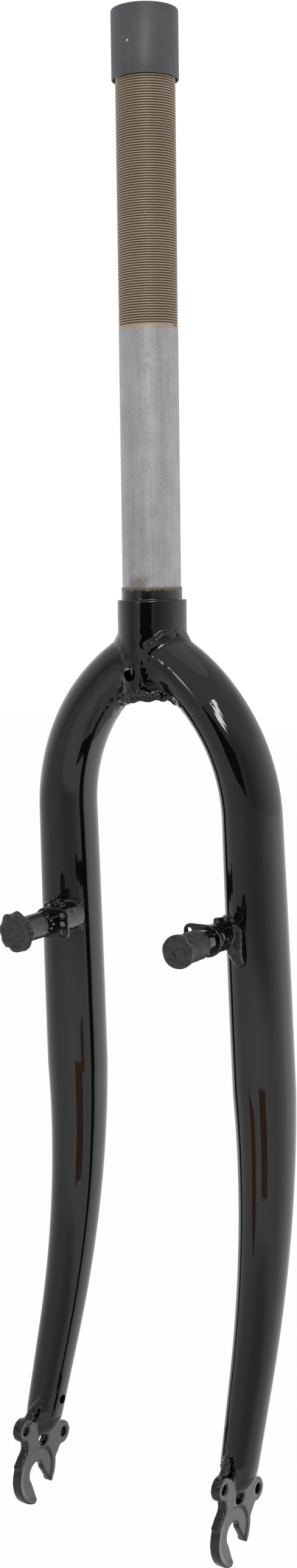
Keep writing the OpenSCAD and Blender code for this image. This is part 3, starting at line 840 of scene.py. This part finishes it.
def screen(name, material, start, end, low, high, reach, middle=(0, 0)):
    """A curved screen round a middle, from one turn to another as seen from the camera."""
    bm = bmesh.new()
    first = view_turn + math.radians(start)
    foot = Vector((middle[0] + reach * math.cos(first), middle[1] + reach * math.sin(first), low))
    ends = [bm.verts.new(foot), bm.verts.new(foot + Vector((0, 0, high - low)))]
    bm.edges.new(ends)
    bmesh.ops.spin(bm, geom=bm.verts[:] + bm.edges[:], cent=(*middle, 0), axis=(0, 0, 1),
                   angle=math.radians(end - start), steps=max(8, int(end - start)), use_merge=False)
    made = link_mesh(name, bm)
    made.data.materials.append(material)
    made.visible_camera = False
    made.visible_diffuse = False
    made.visible_transmission = False
    made.visible_shadow = False


room, light = glow("room_glow", 1.0)
nodes = Value(room, None)
place = nodes.out("ShaderNodeTexCoord", output=3)
turn = nodes.out("ShaderNodeMapping", Vector=place, Rotation=(0, 0, -view_turn))
east = nodes.out("ShaderNodeSeparateXYZ", output=0, Vector=turn)
north = nodes.out("ShaderNodeSeparateXYZ", output=1, Vector=turn)
bearing = north.maths("ARCTAN2", north, east) / (2 * math.pi) + 0.5
room_strength = 2.0


def band_of_room(stops):
    """A band's brightness by bearing, from turns in degrees away from the camera and brightnesses."""
    stops = [((turn + 180) / 360, brightness / room_strength) for turn, brightness in stops]
    return nodes.out("ShaderNodeValToRGB", {"stops": stops}, Fac=bearing)


walls = band_of_room([(-180, 0.95), (-130, 1.2), (-110, 1.0), (-90, 0.73), (-80, 0.51), (-70, 0.36),
                      (-60, 0.54), (-45, 0.73), (0, 0.39), (20, 0.30), (40, 0.50), (60, 0.74),
                      (70, 0.94), (90, 1.2), (105, 1.3), (130, 1.1), (150, 0.86), (180, 0.95)])
skirting = band_of_room([(-180, 1.0), (-130, 0.85), (-110, 0.80), (-80, 0.66), (-40, 0.62), (-10, 0.45),
                         (10, 0.43), (30, 0.52), (50, 0.82), (70, 1.2), (90, 1.6), (110, 1.5),
                         (130, 1.3), (180, 1.0)])
ground = band_of_room([(-180, 1.0), (-130, 0.85), (-80, 0.72), (-50, 0.85), (-20, 0.98), (10, 0.92),
                       (40, 0.86), (60, 1.05), (90, 1.6), (110, 1.5), (130, 1.3), (180, 1.0)])
height = nodes.out("ShaderNodeSeparateXYZ", output=2, Vector=place)
tone = height.rise(-0.13, -0.19).tint(walls, skirting)
tone = height.rise(-0.36, -0.46).tint(tone, ground)
tone = height.rise(0.10, 0.50).tint(tone, (0.36, 0.36, 0.36))
feed(nodes, light.inputs["Color"], tone)
light.inputs["Strength"].default_value = room_strength
room_r = 0.80
screen_r = 0.78
block_r = 0.113
screen("room_wall", room, -180, 180, -1.6, 1.4, room_r)
dark, _ = glow("dark_screen", 0.004)
screen("black_bar", dark, -40, -2, -0.140, 0.075, screen_r)
lamp, _ = glow("tall_lamp", 14.0)
screen("lamp_low", lamp, -7, 5, 0.270, 0.400, screen_r)
screen("lamp_middle", lamp, 2, 12, 0.400, 0.560, screen_r)
screen("lamp_high", lamp, 9, 16, 0.560, 0.610, screen_r)
screen("lamp_foot", lamp, -12, -2, 0.190, 0.270, screen_r)
side_glow, _ = glow("side_lamp", 6.0)
screen("side_lamp", side_glow, -50, -44, 0.070, 0.180, screen_r)
brown, _ = glow("brown_block", 0.9, (0.46, 0.27, 0.15))
blade_front = line_at(0.234)
screen("brown_block_left", brown, -8, 18, -0.296, -0.250, block_r, (-blade_front.x, blade_front.y))
screen("brown_block_right", brown, -22, 0, -0.288, -0.249, block_r, (blade_front.x, blade_front.y))

world = bpy.data.worlds.new("studio")
bpy.context.scene.world = world
world.use_nodes = True
background = world.node_tree.nodes["Background"]
background.inputs["Color"].default_value = (1, 1, 1, 1)
rays = world.node_tree.nodes.new("ShaderNodeLightPath")
seen = world.node_tree.nodes.new("ShaderNodeMath")
seen.operation = "MAXIMUM"
world.node_tree.links.new(rays.outputs["Is Camera Ray"], seen.inputs[0])
world.node_tree.links.new(rays.outputs["Is Glossy Ray"], seen.inputs[1])
clear = world.node_tree.nodes.new("ShaderNodeMath")
clear.operation = "MAXIMUM"
world.node_tree.links.new(seen.outputs[0], clear.inputs[0])
world.node_tree.links.new(rays.outputs["Is Transmission Ray"], clear.inputs[1])
level = world.node_tree.nodes.new("ShaderNodeMapRange")
world.node_tree.links.new(clear.outputs[0], level.inputs["Value"])
level.inputs["To Min"].default_value = 0.80
level.inputs["To Max"].default_value = 1.0
world.node_tree.links.new(level.outputs["Result"], background.inputs["Strength"])

floor_z = -0.95
floor_reach = 8
bm = bmesh.new()
bmesh.ops.create_grid(bm, x_segments=1, y_segments=1, size=floor_reach)
bmesh.ops.translate(bm, vec=(0, 0, floor_z), verts=bm.verts)
floor = link_mesh("floor", bm)
pale = bpy.data.materials.new("floor_white")
pale.use_nodes = True
floor_tree = pale.node_tree
floor_shader = floor_tree.nodes["Principled BSDF"]
floor_shader.inputs["Base Color"].default_value = (0.85, 0.85, 0.85, 1)
floor_shader.inputs["Roughness"].default_value = 0.9
lift = floor_tree.nodes.new("ShaderNodeEmission")
lift.inputs["Strength"].default_value = 1.0
floor_rays = floor_tree.nodes.new("ShaderNodeLightPath")
share = floor_tree.nodes.new("ShaderNodeMath")
share.operation = "MULTIPLY"
share.inputs[1].default_value = 0.96
floor_tree.links.new(floor_rays.outputs["Is Camera Ray"], share.inputs[0])
blend = floor_tree.nodes.new("ShaderNodeMixShader")
floor_tree.links.new(share.outputs[0], blend.inputs["Fac"])
floor_tree.links.new(floor_shader.outputs[0], blend.inputs[1])
floor_tree.links.new(lift.outputs[0], blend.inputs[2])
floor_tree.links.new(blend.outputs[0], floor_tree.nodes["Material Output"].inputs["Surface"])
floor.data.materials.append(pale)
